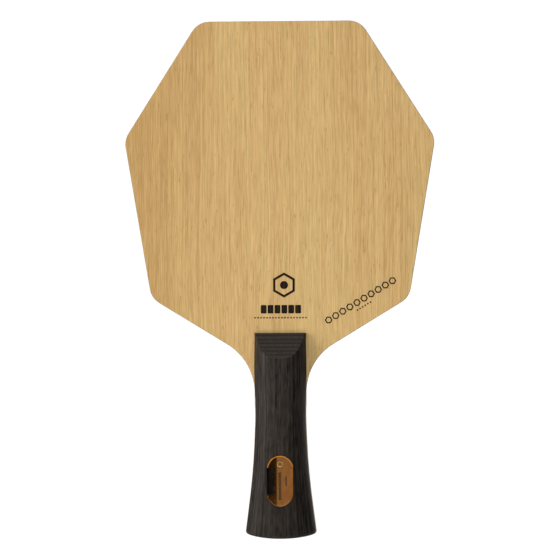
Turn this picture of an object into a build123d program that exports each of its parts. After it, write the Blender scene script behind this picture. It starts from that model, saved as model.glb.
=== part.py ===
"""Table tennis paddle: a bare hexagonal five-ply blade with a flared, laminated handle.

The blade is a plywood plate, cut in one outline with the tang that runs down the middle of the
handle. A grip block is glued to each face of the tang, and tang and grips are sanded to one round
section. Each block is a stack of thin dyed veneers, so its rounded sides and the bevel at its top
cut through every layer. A domed badge, a metal plate under a clear lens, sits in a pocket through
the outer layers of the front grip.

Frame: origin at the centre of the handle's butt end, +Z up the handle to the head's tip,
+X to the right and -Y out of the front face. Every length is in millimetres.
"""

from build123d import *
from build123d.topology import SkipClean
import math
import os

# Head outline, as half widths from the long axis and heights above the butt.
TOTAL_LENGTH = 254.8
TOP_CORNER_HALF = 39.95
SIDE_CORNER = (76.8, 196.6)
LOW_CORNER = (63.7, 118.2)
NECK_CORNER_Z = 87.1
CORNER_RADIUS = 10.0
NECK_RADIUS = 28.0

# Ply thicknesses, from the middle outwards.
CORE_THICKNESS = 3.6
CROSS_THICKNESS = 0.55
FACE_THICKNESS = 0.55
BLADE_HALF = CORE_THICKNESS / 2 + CROSS_THICKNESS + FACE_THICKNESS
FACE_EDGE_RADIUS = 0.35

# A rubber sheet covers the face ply from the tip down to this height.
RUBBER_EDGE_Z = 105.0

# Handle: the outline narrows to a neck, then flares to the butt in an arc and a straight run.
GRIP_LENGTH = 100.9
HANDLE_HALF_DEPTH = 12.0
SHOULDER_HALF = 13.4
SHOULDER_Z = 80.0
NECK_HALF = 12.7
NECK_Z = 64.0
FLARE_RADIUS = 364.0
FLARE_END_Z = 18.0
BUTT_DOME_RADIUS = 80.0
BUTT_EDGE_RADIUS = 1.5

# The handle's section is a superellipse with one exponent across and one through the handle:
# squarer than an oval at the butt, and at the top flatter at its crown and rounder at its sides.
BUTT_POWERS = (2.4, 2.4)
TOP_POWERS = (3.0, 1.4)
SECTION_POINTS = 40
SECTION_HEIGHTS = (0.0, 9.0, 18.0, 29.5, 41.0, 52.5, 64.0, 72.0, 80.0, 90.0, GRIP_LENGTH)

# Over this run above the neck the sanding of the tang fades out into the blade's square edge.
SANDING_FADE = 10.0
SANDING_SPREAD = 1.5

# Bevel at the top of each grip: a low square lip, then a slope up to the crown.
BEVEL_LENGTH = 12.5
BEVEL_LIP = 1.5

LAMINA_COUNT = 8
LAMINA_THICKNESS = (HANDLE_HALF_DEPTH - BLADE_HALF) / LAMINA_COUNT

# Badge, in a pocket through the outer two laminae of the front grip.
POCKET_WIDTH = 13.2
POCKET_HEIGHT = 25.3
POCKET_Z = 28.3
POCKET_LAMINAE = 2
POCKET_FLOOR = HANDLE_HALF_DEPTH - POCKET_LAMINAE * LAMINA_THICKNESS
BADGE_GAP = 0.2
BADGE_WIDTH = POCKET_WIDTH - 2 * BADGE_GAP
BADGE_HEIGHT = POCKET_HEIGHT - 2 * BADGE_GAP
PLATE_CROWN = 10.9
PLATE_RADIUS = 20.0
LENS_CROWN = 11.9
LENS_RADIUS = 19.0

BIG = 400.0


def depth_block(near, far):
    """A wide block between two distances in front of the handle's middle plane."""
    return Pos(0, -(near + far) / 2, 0) * Box(BIG, far - near, 2 * BIG)


def height_block(low, high):
    """A wide block between two heights above the butt."""
    return Pos(0, 0, (low + high) / 2) * Box(BIG, BIG, high - low)


def flare_half(z):
    """Half width of the handle at a height."""
    if z >= NECK_Z:
        blend = min(1.0, (z - NECK_Z) / (SHOULDER_Z - NECK_Z))
        return NECK_HALF + (SHOULDER_HALF - NECK_HALF) * blend * blend * (3 - 2 * blend)
    on_arc = max(z, FLARE_END_Z)
    rise = math.sqrt(FLARE_RADIUS**2 - (NECK_Z - on_arc) ** 2)
    slope = (NECK_Z - on_arc) / rise
    return NECK_HALF + FLARE_RADIUS - rise + slope * (on_arc - z)


def half_outline(side):
    """Edges of one half of the head's outline, from the neck's centre to the tip's centre."""
    neck = (side * NECK_HALF, NECK_Z)
    neck_corner = (side * NECK_HALF, NECK_CORNER_Z)
    low = (side * LOW_CORNER[0], LOW_CORNER[1])
    wide = (side * SIDE_CORNER[0], SIDE_CORNER[1])
    top = (side * TOP_CORNER_HALF, TOTAL_LENGTH)
    points = [(0, NECK_Z), neck, neck_corner, low, wide, top, (0, TOTAL_LENGTH)]
    return Polyline(*points).edges()


def head_outline():
    """The head's flat outline in the XZ plane, from the neck up, with its corners rounded."""
    edges = [*half_outline(1), *half_outline(-1)]
    face = Face(Wire([Plane.XZ * edge for edge in edges]))
    rounded = {
        NECK_CORNER_Z: NECK_RADIUS,
        LOW_CORNER[1]: CORNER_RADIUS,
        SIDE_CORNER[1]: CORNER_RADIUS,
        TOTAL_LENGTH: CORNER_RADIUS,
    }
    for height, radius in rounded.items():
        corners = [v for v in face.vertices() if abs(v.Z - height) < 0.01 and abs(v.X) > 1]
        face = fillet(corners, radius)
    return face


def section_powers(z):
    """The section's exponents, across and through the handle, at a height."""
    blend = z / GRIP_LENGTH
    return [butt + (top - butt) * blend for butt, top in zip(BUTT_POWERS, TOP_POWERS)]


def handle_section(z, spread=0.0):
    """The handle's closed section at a height, made wider by twice the spread."""
    half_width = flare_half(z) + spread
    across, through = section_powers(z)
    points = []
    for i in range(SECTION_POINTS):
        angle = 2 * math.pi * i / SECTION_POINTS
        c, s = math.cos(angle), math.sin(angle)
        x = math.copysign(abs(c) ** (2 / across), c) * half_width
        y = math.copysign(abs(s) ** (2 / through), s) * HANDLE_HALF_DEPTH
        points.append((x, y, z))
    return Face(Wire([Spline(*points, periodic=True)]))


def handle_body():
    """The body that tang and grips are sanded to. Its butt is slightly domed, with a rounded edge."""
    body = loft([handle_section(z) for z in SECTION_HEIGHTS])
    body = body & Pos(0, 0, BUTT_DOME_RADIUS) * Rot(90, 0, 0) * Cylinder(BUTT_DOME_RADIUS, BIG)
    return fillet(body.faces().sort_by(Axis.Z)[0].edges(), BUTT_EDGE_RADIUS)


def head_plate(outline, near, far):
    """The head's part of a ply, between two distances in front of the middle plane."""
    return Pos(0, -near, 0) * extrude(outline, amount=far - near, dir=(0, -1, 0))


def with_tang(plate, body, near, far):
    """A ply in one piece: its head plate, sanded to the handle's section at the neck, and its tang."""
    fade_end = NECK_Z + SANDING_FADE
    tang = body & depth_block(near, far) & height_block(-BIG, NECK_Z)
    spread = loft([handle_section(NECK_Z), handle_section(fade_end, SANDING_SPREAD)])
    return tang + (plate & spread) + (plate & height_block(fade_end, BIG))


def ply(outline, body, near, far):
    """A ply between two distances in front of the middle plane."""
    return with_tang(head_plate(outline, near, far), body, near, far)


def face_ply(outline, body):
    """The front face ply: its outer edge is rounded, and its face is marked out for the rubber."""
    near, far = BLADE_HALF - FACE_THICKNESS, BLADE_HALF
    plate = head_plate(outline, near, far)
    rim = [edge for edge in plate.faces().sort_by(Axis.Y)[0].edges() if edge.center().Z > NECK_Z + 0.01]
    plate = with_tang(fillet(rim, FACE_EDGE_RADIUS), body, near, far)
    covered = plate & height_block(RUBBER_EDGE_Z, BIG)
    bare = plate & height_block(-BIG, RUBBER_EDGE_Z)
    with SkipClean():
        return covered + bare


def bevel_cutter():
    """The wedge that is cut from the front grip's top."""
    lip, crown = BLADE_HALF + BEVEL_LIP, HANDLE_HALF_DEPTH
    slope = BEVEL_LENGTH / (crown - lip)
    past = crown + 2
    corners = [
        (-lip, GRIP_LENGTH),
        (-past, GRIP_LENGTH - slope * (past - lip)),
        (-past, GRIP_LENGTH + 2),
        (-lip, GRIP_LENGTH + 2),
    ]
    profile = make_face(Plane.YZ * Polyline(*corners, close=True))
    return Pos(-BIG / 2, 0, 0) * extrude(profile, amount=BIG, dir=(1, 0, 0))


def obround(width, height, near, far):
    """A slot-shaped block that stands on end at the badge's place, between two depths."""
    flat = Plane.XZ * Rot(0, 0, 90) * SlotOverall(height, width)
    return Pos(0, -near, POCKET_Z) * extrude(flat, amount=far - near, dir=(0, -1, 0))


def crowned(crown, radius):
    """A round bar along the handle whose front line is at the crown's depth."""
    return Pos(0, -(crown - radius), POCKET_Z) * Cylinder(radius, 2 * POCKET_HEIGHT)


def badge():
    """The badge's metal plate, and the clear lens over it."""
    blank = obround(BADGE_WIDTH, BADGE_HEIGHT, POCKET_FLOOR, HANDLE_HALF_DEPTH)
    plate = blank & crowned(PLATE_CROWN, PLATE_RADIUS)
    lens = (blank & crowned(LENS_CROWN, LENS_RADIUS)) - crowned(PLATE_CROWN, PLATE_RADIUS)
    return plate, lens


def lamina(grip, index):
    """One veneer of a grip block, counted from 1 beside the blade to the crown."""
    near = BLADE_HALF + (index - 1) * LAMINA_THICKNESS
    return grip & depth_block(near, near + LAMINA_THICKNESS)


def build():
    """Every sub-part by its node name."""
    outline = head_outline()
    body = handle_body()
    core_half = CORE_THICKNESS / 2
    cross = ply(outline, body, core_half, core_half + CROSS_THICKNESS)
    face = face_ply(outline, body)
    nodes = {
        "core_ply": ply(outline, body, -core_half, core_half),
        "front_cross_ply": cross,
        "rear_cross_ply": mirror(cross, Plane.XZ),
        "front_face_ply": face,
        "rear_face_ply": mirror(face, Plane.XZ),
    }
    grip = (body & depth_block(BLADE_HALF, HANDLE_HALF_DEPTH + 1)) - bevel_cutter()
    pocket = obround(POCKET_WIDTH, POCKET_HEIGHT, POCKET_FLOOR, HANDLE_HALF_DEPTH + 1)
    for index in range(1, LAMINA_COUNT + 1):
        veneer = lamina(grip, index)
        nodes[f"rear_grip_lamina_{index}"] = mirror(veneer, Plane.XZ)
        if index > LAMINA_COUNT - POCKET_LAMINAE:
            veneer = veneer - pocket
        nodes[f"front_grip_lamina_{index}"] = veneer
    nodes["badge_plate"], nodes["badge_lens"] = badge()
    return nodes


if __name__ == "__main__":
    os.makedirs("parts", exist_ok=True)
    for name, solid in build().items():
        export_step(solid, f"parts/{name}.step")
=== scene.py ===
"""Looks for the table tennis paddle: pale veneer, dyed grip veneers, printed marks and the badge.

The CAD plies and laminae keep their shapes and get procedural materials. The badge is modelled here
in place of its two CAD solids, and the printed marks are thin pieces on the front face veneer.
Shapes are worked out in millimetres, and become metres when a mesh is made.
"""

import math

import bmesh
import bpy
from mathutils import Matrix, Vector


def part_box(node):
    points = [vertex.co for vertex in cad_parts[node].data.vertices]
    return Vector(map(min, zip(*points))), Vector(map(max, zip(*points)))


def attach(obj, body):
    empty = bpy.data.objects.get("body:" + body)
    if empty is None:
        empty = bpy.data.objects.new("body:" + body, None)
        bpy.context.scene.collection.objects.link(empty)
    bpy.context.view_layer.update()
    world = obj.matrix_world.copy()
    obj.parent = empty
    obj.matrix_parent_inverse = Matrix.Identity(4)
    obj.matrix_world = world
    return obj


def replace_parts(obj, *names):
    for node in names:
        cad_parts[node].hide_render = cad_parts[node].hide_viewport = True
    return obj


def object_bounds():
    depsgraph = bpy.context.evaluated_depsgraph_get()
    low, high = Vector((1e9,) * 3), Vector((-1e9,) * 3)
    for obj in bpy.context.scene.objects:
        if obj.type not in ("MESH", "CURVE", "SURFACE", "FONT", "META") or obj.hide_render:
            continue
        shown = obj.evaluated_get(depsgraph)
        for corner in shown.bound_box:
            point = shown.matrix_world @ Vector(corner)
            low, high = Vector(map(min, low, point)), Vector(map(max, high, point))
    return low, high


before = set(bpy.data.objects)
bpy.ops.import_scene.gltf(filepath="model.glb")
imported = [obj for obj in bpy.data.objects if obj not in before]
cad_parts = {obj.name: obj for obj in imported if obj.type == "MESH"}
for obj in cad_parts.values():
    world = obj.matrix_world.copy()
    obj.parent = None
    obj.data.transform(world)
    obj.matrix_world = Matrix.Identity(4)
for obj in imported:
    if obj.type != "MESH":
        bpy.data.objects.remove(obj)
cad_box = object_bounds()

MM = 0.001

# Printed marks on the front face, as millimetres right of the long axis and above the grip's top.
INK_THICKNESS = 0.03
EMBLEM_PLACE = (2.0, 23.6)
EMBLEM_RADIUS = 6.2
EMBLEM_STROKE = 1.15
EMBLEM_BALL_RADIUS = 2.0
BLOCK_ROW_PLACE = (0.4, 11.7)
BLOCK_SIZE = (2.9, 4.2)
BLOCK_PITCH = 3.4
BLOCK_COUNT = 6
DOT_ROW_PLACE = (0.2, 7.5)
DOT_RADIUS = 0.42
DOT_PITCH = 1.48
DOT_COUNT = 18
SLANT_DEGREES = 31.4
SLANT_PLACE = (39.7, 15.9)
SLANT_RADIUS = 1.9
SLANT_STROKE = 0.6
SLANT_PITCH = 4.1
SLANT_COUNT = 10
NOTE_DROP = 3.3
NOTE_PITCH = 1.5
NOTE_COUNT = 6

# Badge: a crowned plate, and a lens that is a dome with a rolled edge.
PLATE_EDGE_ROLL = 0.12
PLATE_RADIUS = 20.0
LENS_RADIUS = 19.0
LENS_CLEARANCE = 0.03
LENS_EDGE_ROLL = 0.4
BADGE_MARK_HEIGHT = 0.04
SPINE_CLEARANCE = 0.02

# Marks on the badge's plate, in millimetres right of and above its middle.
DASH_PLACE = (-0.1, -2.4)
DASH_SIZE = (1.3, 0.72)
DASH_PITCH = 1.06
DASH_COUNT = 13
SIDE_LINE_PLACE = (2.9, 0.0)
SIDE_LINE_SIZE = (0.5, 4.6)
RING_PLACE = (0.0, 8.3)
RING_RADIUS = 1.5
RING_STROKE = 0.32

# A painted reflection of a dark thing in the dome, over the left of the plate: its strips overlap by a
# hair, and are narrow enough to follow the plate's crown.
REFLECTION_LEFT = -5.7
REFLECTION_STRIP_PITCH = 0.8
REFLECTION_STRIP_COUNT = 4
REFLECTION_STRIP_SIZE = (0.84, 13.3)
REFLECTION_STEP_PLACE = -2.5
REFLECTION_STEP_SIZE = (0.84, 1.9)
REFLECTION_STEP_PITCH = 3.8
REFLECTION_STEP_COUNT = 4

# Wood colours, linear. The face veneer gets a painted shade, a little darker towards one side of the
# blade.
FACE_WOOD_DARK = (0.465, 0.284, 0.097, 1.0)
FACE_WOOD_LIGHT = (0.775, 0.528, 0.23, 1.0)
FACE_WOOD_TINTS = (1.018, 0.99, 0.985, 1.0), (0.99, 1.01, 0.985, 1.0)
FACE_WOOD_SIDE_SHADE = (0.84, 0.78, 0.71, 1.0)
FACE_WOOD_PORE = (0.3, 0.15, 0.042, 1.0)
FACE_WOOD_RIM = (0.1, 0.07, 0.04, 1.0)
DYED_DARK = (0.003, 0.0018, 0.0013, 1.0)
DYED_LIGHT = (0.044, 0.0362, 0.03, 1.0)
DYED_GLUE = (0.0035, 0.0022, 0.0016, 1.0)

# Tone and roughness of dyed veneer that is cut across its grain, as greys for a colour Mix node.
END_GRAIN_TONE = (0.8, 0.8, 0.8, 1.0)
END_GRAIN_ROUGHNESS = (0.75, 0.75, 0.75, 1.0)
INK_DARK = (0.006, 0.003, 0.0015, 1.0)
INK_LIGHT = (0.03, 0.017, 0.008, 1.0)
SATIN_TINT = (1.0, 0.92, 0.82, 1.0)
BADGE_METAL_COLOURS = (0.58, 0.19, 0.01, 1.0), (0.68, 0.3, 0.02, 1.0)
RESIN_COLOUR = (1.0, 0.97, 0.9, 1.0)
RESIN_IOR = 1.45

# Share of mirror-like reflection of each finish: the shader's Specular IOR Level.
WOOD_SPECULAR = 0.3
INNER_WOOD_SPECULAR = 0.25
MATT_SPECULAR = 0.12

# Where the face veneer's painted side shade starts and is full, in millimetres right of the long axis,
# and the heights between which a painted shade darkens the grip towards the butt.
SIDE_SHADE_RUN = (-14.0, -72.0)
BUTT_SHADE_RUN = (75.0, 5.0)
BUTT_SHADE_SHARE = 0.25

# Camera and studio.
CAMERA_DISTANCE = 1.3
CAMERA_LENS = 169.0
CAMERA_HEIGHT = 0.127
CAMERA_SIDE = -0.0001
CAMERA_TURN_DEGREES = 2.7
CAMERA_ROLL_DEGREES = 0.25
FLOOR_RADIUS = 1.2
FLOOR_DROP = 0.12

ROOM_STRENGTH = 0.08
FLAG_TURN_DEGREES = 29.0
FLAG_DISTANCE = 0.6
FLAG_SIZE = (0.32, 0.12)
FLAG_HEIGHT = 0.03
BACKDROP_STRENGTH = 1.05

# Soft lights: (name, degrees round from the camera's side, elevation, distance, size, power).
# Degrees run from the front towards the object's left as the camera sees it.
SOFT_LIGHTS = (
    ("key_light", 68.0, 10.0, 1.8, 1.0, 29.0),
    ("front_top_light", 45.0, 60.0, 1.5, 1.4, 17.0),
    ("grey_panel", -14.0, -4.0, 1.7, 1.55, 2.1),
    ("floor_light", 0.0, 90.0, 1.3, 1.0, 4.0),
    ("rear_light", 172.0, 32.0, 1.8, 0.8, 24.0),
    ("rear_fill", -150.0, 15.0, 1.8, 1.0, 9.0),
)

# A colour Mix node's own sockets, among those of its other data types.
MIX_FIRST_COLOUR = 6
MIX_SECOND_COLOUR = 7
MIX_COLOUR = 2


# ---------------------------------------------------------------- shading helpers

def srgb(red, green, blue):
    """A linear colour from sRGB values of 0 to 255."""
    return tuple(
        value / 255 / 12.92 if value <= 10 else ((value / 255 + 0.055) / 1.055) ** 2.4
        for value in (red, green, blue)
    ) + (1.0,)


class Shader:
    """A material's node tree. Each call adds a node and returns its output socket."""

    def __init__(self, name):
        self.material = bpy.data.materials.new(name)
        self.material.use_nodes = True
        self.tree = self.material.node_tree
        self.surface = self.tree.nodes["Principled BSDF"]

    def plug(self, socket, value):
        """Links an output to a socket, or sets the socket to a constant."""
        if isinstance(value, bpy.types.NodeSocket):
            self.tree.links.new(value, socket)
        else:
            socket.default_value = value

    def set(self, **values):
        """Sets the surface shader's inputs; an underscore in a name stands for a space."""
        for name, value in values.items():
            self.plug(self.surface.inputs[name.replace("_", " ")], value)

    def math(self, operation, first, second=0.0):
        node = self.tree.nodes.new("ShaderNodeMath")
        node.operation = operation
        self.plug(node.inputs[0], first)
        self.plug(node.inputs[1], second)
        return node.outputs[0]

    def vector_math(self, operation, first, second):
        node = self.tree.nodes.new("ShaderNodeVectorMath")
        node.operation = operation
        self.plug(node.inputs[0], first)
        self.plug(node.inputs[1], second)
        return node.outputs[0]

    def place(self):
        """The point's place in the row frame, in millimetres."""
        node = self.tree.nodes.new("ShaderNodeTexCoord")
        return self.vector_math("MULTIPLY", node.outputs["Object"], (1000.0, 1000.0, 1000.0))

    def normal(self):
        return self.tree.nodes.new("ShaderNodeNewGeometry").outputs["Normal"]

    def split(self, vector):
        node = self.tree.nodes.new("ShaderNodeSeparateXYZ")
        self.plug(node.inputs[0], vector)
        return node.outputs

    def join(self, x, y, z):
        node = self.tree.nodes.new("ShaderNodeCombineXYZ")
        for socket, value in zip(node.inputs, (x, y, z)):
            self.plug(socket, value)
        return node.outputs[0]

    def noise(self, place, stretch, detail=2.0, roughness=0.5, distortion=0.0):
        """Noise whose grains are 1/stretch millimetres long on each axis."""
        node = self.tree.nodes.new("ShaderNodeTexNoise")
        self.plug(node.inputs["Vector"], self.vector_math("MULTIPLY", place, stretch))
        self.plug(node.inputs["Scale"], 1.0)
        self.plug(node.inputs["Detail"], detail)
        self.plug(node.inputs["Roughness"], roughness)
        self.plug(node.inputs["Distortion"], distortion)
        return node.outputs[0]

    def spread(self, value, low, high, to_low=0.0, to_high=1.0):
        """The value's smooth step from one range to another."""
        node = self.tree.nodes.new("ShaderNodeMapRange")
        node.interpolation_type = "SMOOTHSTEP"
        for socket, number in zip(node.inputs, (value, low, high, to_low, to_high)):
            self.plug(socket, number)
        return node.outputs[0]

    def mix(self, factor, first, second, blend="MIX"):
        node = self.tree.nodes.new("ShaderNodeMix")
        node.data_type = "RGBA"
        node.blend_type = blend
        self.plug(node.inputs["Factor"], factor)
        self.plug(node.inputs[MIX_FIRST_COLOUR], first)
        self.plug(node.inputs[MIX_SECOND_COLOUR], second)
        return node.outputs[MIX_COLOUR]

    def bump(self, height, distance_mm, strength=1.0):
        node = self.tree.nodes.new("ShaderNodeBump")
        self.plug(node.inputs["Height"], height)
        self.plug(node.inputs["Distance"], distance_mm * MM)
        self.plug(node.inputs["Strength"], strength)
        return node.outputs[0]


# ---------------------------------------------------------------- materials

def grain_place(shader, along):
    """The place as (across, through, along) the grain. The grain runs along the row's z or x."""
    across_x, through, up = shader.split(shader.place())
    if along == "z":
        return shader.join(across_x, through, up)
    return shader.join(up, through, across_x)


def wandering(shader, place, reach_mm):
    """The place with its across part shifted a little, so that long streaks aren't quite straight."""
    across, through, along = shader.split(place)
    shift = shader.noise(place, (0.03, 0.02, 0.009), detail=1.0)
    shift = shader.math("MULTIPLY", shader.math("SUBTRACT", shift, 0.5), reach_mm)
    return shader.join(shader.math("ADD", across, shift), through, along)


def weighted(shader, *pairs):
    """0.5 plus each noise's distance from 0.5 times its weight."""
    total = 0.5
    for noise, weight in pairs:
        centred = shader.math("MULTIPLY", shader.math("SUBTRACT", noise, 0.5), weight)
        total = shader.math("ADD", total, centred)
    return shader.math("MAXIMUM", shader.math("MINIMUM", total, 1.0), 0.0)


def sanded_rim(shader):
    """1 where the surface turns away from the blade's faces, 0 on the faces."""
    facing = shader.math("ABSOLUTE", shader.split(shader.normal())[1])
    return shader.spread(facing, 0.97, 0.7)


def face_wood():
    """Pale veneer with straight fine grain, slow bands of tint, short pores, a darker rim and a painted
    shade towards one side.
    """
    shader = Shader("face_wood")
    plain = grain_place(shader, "z")
    place = wandering(shader, plain, 5.0)
    bands = shader.noise(place, (0.1, 0.3, 0.005), detail=2.0)
    streaks = shader.noise(place, (1.2, 0.3, 0.01), detail=4.0, roughness=0.7)
    figure = shader.noise(place, (1.0, 0.3, 0.07), detail=3.0, roughness=0.65)
    fibres = shader.noise(place, (3.0, 0.3, 0.1), detail=2.0)
    tone = weighted(shader, (bands, 0.6), (streaks, 1.6), (figure, 0.7), (fibres, 1.2))
    colour = shader.mix(tone, FACE_WOOD_DARK, FACE_WOOD_LIGHT)
    tint = shader.mix(shader.spread(bands, 0.35, 0.65), FACE_WOOD_TINTS[0], FACE_WOOD_TINTS[1])
    colour = shader.mix(1.0, colour, tint, "MULTIPLY")
    # Painted shade: the veneer is darkened towards one side of the blade, where the light falls off.
    side_shade = shader.spread(shader.split(plain)[0], *SIDE_SHADE_RUN)
    colour = shader.mix(side_shade, colour, shader.mix(1.0, colour, FACE_WOOD_SIDE_SHADE, "MULTIPLY"))
    pores = shader.noise(place, (2.6, 0.5, 0.2), detail=1.0)
    pores = shader.spread(pores, 0.67, 0.77)
    colour = shader.mix(shader.math("MULTIPLY", pores, 0.6), colour, FACE_WOOD_PORE)
    colour = shader.mix(sanded_rim(shader), colour, FACE_WOOD_RIM)
    height = shader.math("SUBTRACT", tone, pores)
    shader.set(
        Base_Color=colour,
        Roughness=shader.spread(tone, 0.0, 1.0, 0.62, 0.5),
        Normal=shader.bump(height, 0.02, 0.6),
    )
    shader.surface.inputs["Specular IOR Level"].default_value = WOOD_SPECULAR
    return shader.material


def inner_wood(name, along, dark, light):
    """Wood of an inner ply, seen at its sanded edge."""
    shader = Shader(name)
    place = wandering(shader, grain_place(shader, along), 2.0)
    streaks = shader.noise(place, (1.1, 1.6, 0.03), detail=4.0, roughness=0.6)
    fibres = shader.noise(place, (4.5, 4.5, 0.16), detail=2.0)
    tone = weighted(shader, (streaks, 1.2), (fibres, 1.0))
    shader.set(
        Base_Color=shader.mix(tone, dark, light),
        Roughness=shader.spread(tone, 0.0, 1.0, 0.75, 0.6),
        Normal=shader.bump(fibres, 0.03, 0.6),
    )
    shader.surface.inputs["Specular IOR Level"].default_value = INNER_WOOD_SPECULAR
    return shader.material


def end_grain(shader):
    """1 on a face that is cut across the grain, such as a bevel, and 0 along the grain."""
    facing_up = shader.math("ABSOLUTE", shader.split(shader.normal())[2])
    return shader.spread(facing_up, 0.3, 0.45)


def dyed_veneer():
    """Charcoal veneers: each has its own tone, a darker glue line shows between two of them, and a painted
    shade darkens them towards the butt.
    """
    shader = Shader("dyed_veneer")
    low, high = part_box("front_grip_lamina_1")
    first_face, thickness = -high.y / MM, (high.y - low.y) / MM
    outermost = (-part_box("front_grip_lamina_8")[0].y / MM - first_face) / thickness - 0.5
    plain = grain_place(shader, "z")
    place = wandering(shader, plain, 3.0)
    depth = shader.math("ABSOLUTE", shader.split(plain)[1])
    layer = shader.math("DIVIDE", shader.math("SUBTRACT", depth, first_face), thickness)
    glue = shader.spread(shader.math("PINGPONG", layer, 0.5), 0.2, 0.06)
    glue = shader.math("MULTIPLY", glue, shader.math("LESS_THAN", layer, outermost))
    own_tone = shader.tree.nodes.new("ShaderNodeTexWhiteNoise")
    own_tone.noise_dimensions = "1D"
    side = shader.math("SIGN", shader.split(plain)[1])
    index = shader.math("ADD", shader.math("FLOOR", layer), shader.math("MULTIPLY", side, 20.0))
    shader.plug(own_tone.inputs["W"], index)
    rings = shader.noise(place, (0.1, 2.2, 0.01), detail=3.0, roughness=0.6)
    streaks = shader.noise(place, (1.1, 1.4, 0.04), detail=4.0, roughness=0.7)
    figure = shader.noise(place, (0.8, 1.0, 0.17), detail=3.0, roughness=0.6)
    fibres = shader.noise(place, (3.2, 3.2, 0.14), detail=2.0, roughness=0.6)
    parts = (rings, 0.7), (streaks, 1.9), (figure, 1.5), (fibres, 1.0), (own_tone.outputs["Value"], 0.2)
    cut = end_grain(shader)
    tone = shader.mix(shader.math("MULTIPLY", cut, 0.6), weighted(shader, *parts), END_GRAIN_TONE)
    colour = shader.mix(tone, DYED_DARK, DYED_LIGHT)
    glue_share = shader.math("MULTIPLY", glue, shader.spread(cut, 0.0, 1.0, 0.75, 0.6))
    colour = shader.mix(glue_share, colour, DYED_GLUE)
    # Painted shade: the veneers are darkened towards the butt.
    butt_shade = shader.spread(shader.split(plain)[2], *BUTT_SHADE_RUN, 0.0, BUTT_SHADE_SHARE)
    colour = shader.mix(butt_shade, colour, DYED_DARK)
    height = shader.math("SUBTRACT", tone, shader.math("MULTIPLY", glue, 0.5))
    shader.set(
        Base_Color=colour,
        Roughness=shader.mix(cut, shader.spread(tone, 0.0, 1.0, 0.42, 0.55), END_GRAIN_ROUGHNESS),
        Normal=shader.bump(height, 0.06, 0.6),
    )
    shader.surface.inputs["Specular IOR Level"].default_value = MATT_SPECULAR
    shader.surface.inputs["Specular Tint"].default_value = SATIN_TINT
    return shader.material


def printed_ink():
    """A thin dark brown print that has sunk a little into the grain under it."""
    shader = Shader("printed_ink")
    place = grain_place(shader, "z")
    fibres = shader.noise(place, (2.4, 0.2, 0.1), detail=2.0)
    shader.set(
        Base_Color=shader.mix(shader.spread(fibres, 0.35, 0.75), INK_DARK, INK_LIGHT),
        Roughness=shader.spread(fibres, 0.3, 0.7, 0.6, 0.75),
        Normal=shader.bump(fibres, 0.01, 0.5),
    )
    shader.surface.inputs["Specular IOR Level"].default_value = MATT_SPECULAR
    return shader.material


def badge_metal():
    """Amber anodised metal with a fine brushed grain along the handle."""
    shader = Shader("badge_metal")
    place = grain_place(shader, "z")
    brushing = shader.noise(place, (9.0, 1.0, 0.15), detail=3.0, roughness=0.6)
    cloud = shader.noise(place, (0.3, 0.3, 0.2), detail=2.0)
    shader.set(
        Base_Color=shader.mix(shader.spread(cloud, 0.3, 0.7), *BADGE_METAL_COLOURS),
        Metallic=1.0,
        Roughness=shader.spread(brushing, 0.2, 0.8, 0.05, 0.1),
        Normal=shader.bump(brushing, 0.004, 0.2),
    )
    return shader.material


def badge_ink(name, colour, roughness):
    """Ink of the badge's printed marks, and of its painted dark reflection."""
    shader = Shader(name)
    place = grain_place(shader, "z")
    grain = shader.noise(place, (3.0, 3.0, 3.0), detail=2.0)
    darker = tuple(0.7 * part for part in colour[:3]) + (1.0,)
    shader.set(
        Base_Color=shader.mix(grain, darker, colour),
        Roughness=shader.spread(grain, 0.2, 0.8, roughness - 0.08, roughness + 0.08),
    )
    shader.surface.inputs["Specular IOR Level"].default_value = MATT_SPECULAR
    return shader.material


def badge_resin():
    """Clear cast resin."""
    shader = Shader("badge_resin")
    place = grain_place(shader, "z")
    ripple = shader.noise(place, (0.25, 0.25, 0.15), detail=1.0)
    shader.set(
        Base_Color=RESIN_COLOUR,
        Roughness=0.02,
        Normal=shader.bump(ripple, 0.02, 0.3),
    )
    shader.surface.inputs["Transmission Weight"].default_value = 1.0
    shader.surface.inputs["IOR"].default_value = RESIN_IOR
    return shader.material


# ---------------------------------------------------------------- outlines, as lists of (x, z)

def polygon(centre, radius, sides, turn_degrees=0.0):
    turn = math.radians(turn_degrees)
    points = []
    for i in range(sides):
        angle = turn + 2 * math.pi * i / sides
        points.append((centre[0] + radius * math.cos(angle), centre[1] + radius * math.sin(angle)))
    return points


def rounded_box(centre, size, radius, corner_steps=5):
    half_width, half_height = size[0] / 2 - radius, size[1] / 2 - radius
    points = []
    for quarter, (sign_x, sign_z) in enumerate(((1, 1), (-1, 1), (-1, -1), (1, -1))):
        for step in range(corner_steps + 1):
            angle = math.pi / 2 * (quarter + step / corner_steps)
            x = centre[0] + sign_x * half_width + radius * math.cos(angle)
            z = centre[1] + sign_z * half_height + radius * math.sin(angle)
            points.append((x, z))
    return points


def row_centres(middle, pitch, count, slant_degrees=0.0):
    """Centres of a straight row of marks, evenly spaced about its middle."""
    slant = math.radians(slant_degrees)
    places = []
    for i in range(count):
        along = (i - (count - 1) / 2) * pitch
        places.append((middle[0] + along * math.cos(slant), middle[1] + along * math.sin(slant)))
    return places


# ---------------------------------------------------------------- meshes

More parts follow.
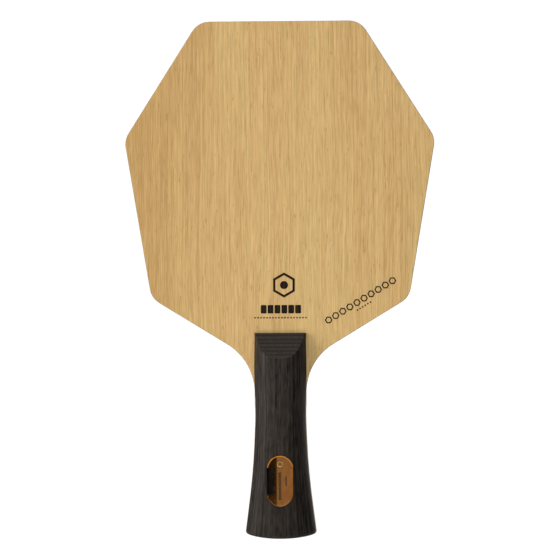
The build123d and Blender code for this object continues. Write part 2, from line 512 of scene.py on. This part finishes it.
def add_slab(mesh, outline, hole, front, back):
    """Adds a thin closed slab. front and back give y at an (x, z); a hole is a ring's inner outline."""
    loops = [outline] if hole is None else [outline, hole]
    front_loops = [[mesh.verts.new((x, front(x, z), z)) for x, z in loop] for loop in loops]
    back_loops = [[mesh.verts.new((x, back(x, z), z)) for x, z in loop] for loop in loops]
    for front_loop, back_loop in zip(front_loops, back_loops):
        add_band(mesh, front_loop, back_loop)
    for cap in (front_loops, back_loops):
        if hole is None:
            mesh.faces.new(cap[0])
        else:
            add_band(mesh, cap[0], cap[1])


def add_band(mesh, first, second):
    """Joins two closed loops of as many points with a band of quads."""
    for i in range(len(first)):
        after = (i + 1) % len(first)
        mesh.faces.new((first[i], first[after], second[after], second[i]))


def finish_piece(mesh, name, material, smooth_degrees=0.0):
    """Turns a bmesh in millimetres into a piece of the object, in metres."""
    bmesh.ops.recalc_face_normals(mesh, faces=mesh.faces)
    bmesh.ops.scale(mesh, vec=(MM, MM, MM), verts=mesh.verts)
    data = bpy.data.meshes.new(name)
    mesh.to_mesh(data)
    mesh.free()
    for face in data.polygons:
        face.use_smooth = smooth_degrees > 0
    if smooth_degrees > 0:
        data.set_sharp_from_angle(angle=math.radians(smooth_degrees))
    data.materials.append(material)
    piece = bpy.data.objects.new(name, data)
    bpy.context.scene.collection.objects.link(piece)
    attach(piece, "root")
    return piece


def face_print(name, shapes, material):
    """A printed mark: slabs that stand on the front face veneer. A shape is (outline, hole)."""
    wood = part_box("front_face_ply")[0].y / MM
    mesh = bmesh.new()
    for outline, hole in shapes:
        add_slab(mesh, outline, hole, lambda x, z: wood - INK_THICKNESS, lambda x, z: wood + INK_THICKNESS)
    return finish_piece(mesh, name, material)


def from_grip_top(place):
    """A mark's place in the row frame, from its place above the grip's top."""
    return place[0], place[1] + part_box("front_grip_lamina_1")[1].z / MM


def hexagon_ring(centre, radius, stroke, turn_degrees):
    """A hexagon's outline and its hole; the stroke is measured square to the sides."""
    inner = radius - stroke / math.cos(math.pi / 6)
    return polygon(centre, radius, 6, turn_degrees), polygon(centre, inner, 6, turn_degrees)


def printed_marks(material):
    """The generic marks on the front face: an emblem, a row of blocks, dots and a slanted row."""
    emblem = from_grip_top(EMBLEM_PLACE)
    ball = polygon(emblem, EMBLEM_BALL_RADIUS, 40)
    ring = hexagon_ring(emblem, EMBLEM_RADIUS, EMBLEM_STROKE, 90.0)
    face_print("print_emblem", [ring, (ball, None)], material)
    blocks = row_centres(from_grip_top(BLOCK_ROW_PLACE), BLOCK_PITCH, BLOCK_COUNT)
    face_print("print_blocks", [(rounded_box(c, BLOCK_SIZE, 0.5), None) for c in blocks], material)
    dots = row_centres(from_grip_top(DOT_ROW_PLACE), DOT_PITCH, DOT_COUNT)
    face_print("print_dots", [(polygon(c, DOT_RADIUS, 16), None) for c in dots], material)
    slanted = from_grip_top(SLANT_PLACE)
    rings = row_centres(slanted, SLANT_PITCH, SLANT_COUNT, SLANT_DEGREES)
    shapes = [hexagon_ring(c, SLANT_RADIUS, SLANT_STROKE, SLANT_DEGREES + 30.0) for c in rings]
    face_print("print_slanted_row", shapes, material)
    slant = math.radians(SLANT_DEGREES)
    note = (slanted[0] + NOTE_DROP * math.sin(slant), slanted[1] - NOTE_DROP * math.cos(slant))
    notes = row_centres(note, NOTE_PITCH, NOTE_COUNT, SLANT_DEGREES)
    face_print("print_slanted_dots", [(polygon(c, DOT_RADIUS, 16), None) for c in notes], material)


# ---------------------------------------------------------------- badge

def badge_box():
    """The badge's middle (x, z), width, height and its plate's crown, in millimetres."""
    low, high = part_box("badge_plate")
    middle = ((low.x + high.x) / 2 / MM, (low.z + high.z) / 2 / MM)
    return middle, (high.x - low.x) / MM, (high.z - low.z) / MM, low.y / MM


def obround_loop(middle, width, height, inset, arc_steps=28, side_steps=16):
    """The outline of a slot standing on end, moved in by an inset."""
    radius, half_run = width / 2 - inset, (height - width) / 2
    points = []
    for end in (1, -1):
        for step in range(arc_steps + 1):
            angle = math.pi * step / arc_steps + (0 if end > 0 else math.pi)
            x = middle[0] + radius * math.cos(angle)
            points.append((x, middle[1] + end * half_run + radius * math.sin(angle)))
        for step in range(1, side_steps):
            z = middle[1] + end * half_run * (1 - 2 * step / side_steps)
            points.append((middle[0] - end * radius, z))
    return points


def crown_depth(crown, radius, x):
    """y of a crowned face at x: its front line is at the crown, and it falls away to the sides."""
    return crown + radius - math.sqrt(radius * radius - x * x)


def add_dome(mesh, rings, depth):
    """Adds rings of an obround and closes the last. depth gives y from (x, inset)."""
    middle, width, height, _ = badge_box()
    loops = []
    for inset in rings:
        outline = obround_loop(middle, width, height, inset)
        loops.append([mesh.verts.new((x, depth(x - middle[0], inset), z)) for x, z in outline])
    for first, second in zip(loops, loops[1:]):
        add_band(mesh, first, second)
    close_spine(mesh, loops[-1])
    return loops[0]


def close_spine(mesh, loop):
    """Closes the narrow last loop with quads from side to side."""
    count = len(loop)
    for i in range(count // 2 - 1):
        mesh.faces.new((loop[i], loop[i + 1], loop[count - 2 - i], loop[count - 1 - i]))


def inset_rings(width, edges, count):
    """Insets from the edges given to almost the badge's spine."""
    last, deepest = edges[-1], width / 2 - SPINE_CLEARANCE
    return [*edges, *(last + (deepest - last) * (i + 1) / count for i in range(count))]


def plate_depth(x, inset):
    """y of the plate's face: a crowned field with a rounded edge."""
    _, _, _, crown = badge_box()
    roll = max(0.0, 1 - inset / PLATE_EDGE_ROLL)
    return crown_depth(crown, PLATE_RADIUS, x) + PLATE_EDGE_ROLL * (1 - math.sqrt(1 - roll * roll))


def badge_plate(material):
    """The plate: a crowned obround with a rounded edge."""
    middle, width, height, _ = badge_box()
    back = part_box("badge_plate")[1].y / MM
    mesh = bmesh.new()
    outer = add_dome(mesh, inset_rings(width, rolled_insets(PLATE_EDGE_ROLL, 5), 14), plate_depth)
    back_loop = [mesh.verts.new((v.co.x, back, v.co.z)) for v in outer]
    add_band(mesh, outer, back_loop)
    mesh.faces.new(back_loop)
    piece = finish_piece(mesh, "badge_emblem_plate", material, 35.0)
    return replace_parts(piece, "badge_plate")


def rolled_insets(radius, count):
    """Insets of the rings that follow a quarter-round edge."""
    return [radius * (1 - math.cos(math.pi / 2 * i / count)) for i in range(count + 1)]


def lens_depth(x, inset):
    """y of the lens's front: a rolled edge that runs up to a low crown."""
    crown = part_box("badge_lens")[0].y / MM
    roll = max(0.0, 1 - inset / LENS_EDGE_ROLL)
    drop = LENS_EDGE_ROLL * (1 - math.sqrt(1 - roll * roll))
    return crown_depth(crown, LENS_RADIUS, x) + drop


def lens_back(x, inset):
    """y of the lens's back, a hair in front of the plate."""
    _, _, _, crown = badge_box()
    return crown_depth(crown, PLATE_RADIUS, x) - LENS_CLEARANCE


def badge_lens(material):
    """The domed lens: a closed shell over the plate."""
    _, width, _, _ = badge_box()
    mesh = bmesh.new()
    front = add_dome(mesh, inset_rings(width, rolled_insets(LENS_EDGE_ROLL, 8), 12), lens_depth)
    back = add_dome(mesh, inset_rings(width, [0.0], 14), lens_back)
    add_band(mesh, front, back)
    piece = finish_piece(mesh, "badge_dome", material, 60.0)
    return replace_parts(piece, "badge_lens")


def from_badge_middle(place):
    """A mark's place in the row frame, from its place beside the badge's middle."""
    middle, _, _, _ = badge_box()
    return middle[0] + place[0], middle[1] + place[1]


def plate_field(x, z):
    """y of the plate's face at x, away from its rounded edge."""
    _, width, _, _ = badge_box()
    return plate_depth(x, width / 2)


def mark_front(x, z):
    """y of the front of a mark that stands on the plate's face."""
    return plate_field(x, z) - BADGE_MARK_HEIGHT


def painted_reflection_strips():
    """Outlines of a painted dark reflection beside the dashes. Its last strip is broken into steps."""
    strips = [(REFLECTION_LEFT + REFLECTION_STRIP_PITCH * i, 0.0) for i in range(REFLECTION_STRIP_COUNT)]
    steps = row_centres(from_badge_middle((REFLECTION_STEP_PLACE, 0.0)), REFLECTION_STEP_PITCH, REFLECTION_STEP_COUNT, 90.0)
    outlines = [rounded_box(from_badge_middle(place), REFLECTION_STRIP_SIZE, 0.05, 1) for place in strips]
    return outlines + [rounded_box(spot, REFLECTION_STEP_SIZE, 0.05, 1) for spot in steps]


def badge_mark(name, shapes, material):
    """A mark on the badge's plate. A shape is (outline, hole)."""
    mesh = bmesh.new()
    for outline, hole in shapes:
        add_slab(mesh, outline, hole, mark_front, plate_field)
    finish_piece(mesh, name, material)


def badge_marks(dark, pale):
    """Generic marks on the plate: a column of dashes, a painted dark reflection, a short line and a small
    ring.
    """
    dashes = row_centres(from_badge_middle(DASH_PLACE), DASH_PITCH, DASH_COUNT, 90.0)
    shapes = [(rounded_box(spot, DASH_SIZE, 0.12), None) for spot in dashes]
    badge_mark("badge_dashes", shapes, dark)
    # Painted reflection: dark ink over the left of the plate stands for a dark thing reflected in the
    # dome.
    badge_mark("badge_painted_reflection", [(strip, None) for strip in painted_reflection_strips()], dark)
    line = rounded_box(from_badge_middle(SIDE_LINE_PLACE), SIDE_LINE_SIZE, 0.2)
    badge_mark("badge_side_line", [(line, None)], dark)
    ring = hexagon_ring(from_badge_middle(RING_PLACE), RING_RADIUS, RING_STROKE, 90.0)
    badge_mark("badge_ring", [ring], pale)


# ---------------------------------------------------------------- studio

def build_camera():
    data = bpy.data.cameras.new("camera")
    data.lens = CAMERA_LENS
    camera = bpy.data.objects.new("camera", data)
    turn = math.radians(CAMERA_TURN_DEGREES)
    away = Vector((math.sin(turn), -math.cos(turn), 0.0)) * CAMERA_DISTANCE
    camera.location = away + Vector((CAMERA_SIDE, 0.0, CAMERA_HEIGHT))
    camera.rotation_euler = (math.pi / 2, math.radians(CAMERA_ROLL_DEGREES), turn)
    bpy.context.scene.collection.objects.link(camera)
    bpy.context.scene.camera = camera


def softbox(name, turn_degrees, elevation_degrees, distance, size, power):
    """A square area light that faces the middle of the object and isn't seen itself."""
    turn, elevation = math.radians(turn_degrees), math.radians(elevation_degrees)
    middle = (cad_box[0] + cad_box[1]) / 2
    level = math.cos(elevation)
    ahead = Vector((-math.sin(turn) * level, -math.cos(turn) * level, math.sin(elevation)))
    data = bpy.data.lights.new(name, "AREA")
    data.size = size
    data.energy = power
    light = bpy.data.objects.new(name, data)
    light.location = middle + ahead * distance
    light.rotation_euler = (-ahead).to_track_quat("-Z", "Y").to_euler()
    light.visible_camera = False
    bpy.context.scene.collection.objects.link(light)


def build_world():
    """A dim grey room, and a plain white backdrop that only the camera sees."""
    world = bpy.data.worlds.new("room")
    world.use_nodes = True
    bpy.context.scene.world = world
    nodes, links = world.node_tree.nodes, world.node_tree.links
    room, backdrop = nodes["Background"], nodes.new("ShaderNodeBackground")
    room.inputs["Color"].default_value = (0.95, 0.97, 1.0, 1.0)
    room.inputs["Strength"].default_value = ROOM_STRENGTH
    backdrop.inputs["Color"].default_value = (1.0, 1.0, 1.0, 1.0)
    backdrop.inputs["Strength"].default_value = BACKDROP_STRENGTH
    choice, path = nodes.new("ShaderNodeMixShader"), nodes.new("ShaderNodeLightPath")
    links.new(path.outputs["Is Camera Ray"], choice.inputs["Fac"])
    links.new(room.outputs[0], choice.inputs[1])
    links.new(backdrop.outputs[0], choice.inputs[2])
    links.new(choice.outputs[0], nodes["World Output"].inputs["Surface"])


def build_floor():
    """A pale floor that glows white to the camera only, so that it runs into the backdrop."""
    mesh = bmesh.new()
    bmesh.ops.create_circle(mesh, cap_ends=True, radius=FLOOR_RADIUS, segments=96)
    data = bpy.data.meshes.new("floor")
    mesh.to_mesh(data)
    mesh.free()
    shader = Shader("floor")
    shader.set(Base_Color=(0.9, 0.9, 0.9, 1.0), Roughness=0.9, Emission_Color=(1.0, 1.0, 1.0, 1.0))
    path = shader.tree.nodes.new("ShaderNodeLightPath")
    shader.set(Emission_Strength=path.outputs["Is Camera Ray"])
    data.materials.append(shader.material)
    floor = bpy.data.objects.new("floor", data)
    floor.location.z = cad_box[0].z - FLOOR_DROP
    bpy.context.scene.collection.objects.link(floor)


def build_flag():
    """A black card that the camera doesn't see, for the dark side of the badge."""
    turn = math.radians(FLAG_TURN_DEGREES)
    mesh = bmesh.new()
    for x, z in rounded_box((0.0, 0.0), FLAG_SIZE, 0.01, 1):
        mesh.verts.new((x, 0.0, z))
    mesh.faces.new(mesh.verts)
    data = bpy.data.meshes.new("flag")
    mesh.to_mesh(data)
    mesh.free()
    shader = Shader("flag")
    shader.set(Base_Color=(0.01, 0.01, 0.01, 1.0), Roughness=0.9)
    data.materials.append(shader.material)
    flag = bpy.data.objects.new("flag", data)
    flag.location = (-math.sin(turn) * FLAG_DISTANCE, -math.cos(turn) * FLAG_DISTANCE, FLAG_HEIGHT)
    flag.rotation_euler.z = -turn
    flag.visible_camera = False
    bpy.context.scene.collection.objects.link(flag)


def build_studio():
    build_world()
    build_floor()
    build_flag()
    for light in SOFT_LIGHTS:
        softbox(*light)
    build_camera()
    bpy.context.scene.view_settings.view_transform = "Standard"


# ---------------------------------------------------------------- assembly

def dress_frame():
    """Gives each CAD node a material. The badge's two are replaced, so theirs doesn't show."""
    cross = inner_wood("cross_wood", "x", srgb(128, 88, 48), srgb(178, 134, 84))
    materials = {
        "core_ply": inner_wood("core_wood", "z", srgb(176, 138, 88), srgb(212, 178, 126)),
        "front_cross_ply": cross,
        "rear_cross_ply": cross,
    }
    faces, veneers = face_wood(), dyed_veneer()
    for name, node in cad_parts.items():
        plain = faces if name.endswith("face_ply") else veneers
        node.material_slots[0].material = materials.get(name, plain)


dress_frame()
printed_marks(printed_ink())
badge_plate(badge_metal())
dark_print_and_reflection = badge_ink("badge_dark_print_and_reflection", srgb(28, 14, 4), 0.6)
pale_ink = badge_ink("badge_pale_ink", srgb(228, 200, 140), 0.4)
badge_marks(dark_print_and_reflection, pale_ink)
badge_lens(badge_resin())
build_studio()
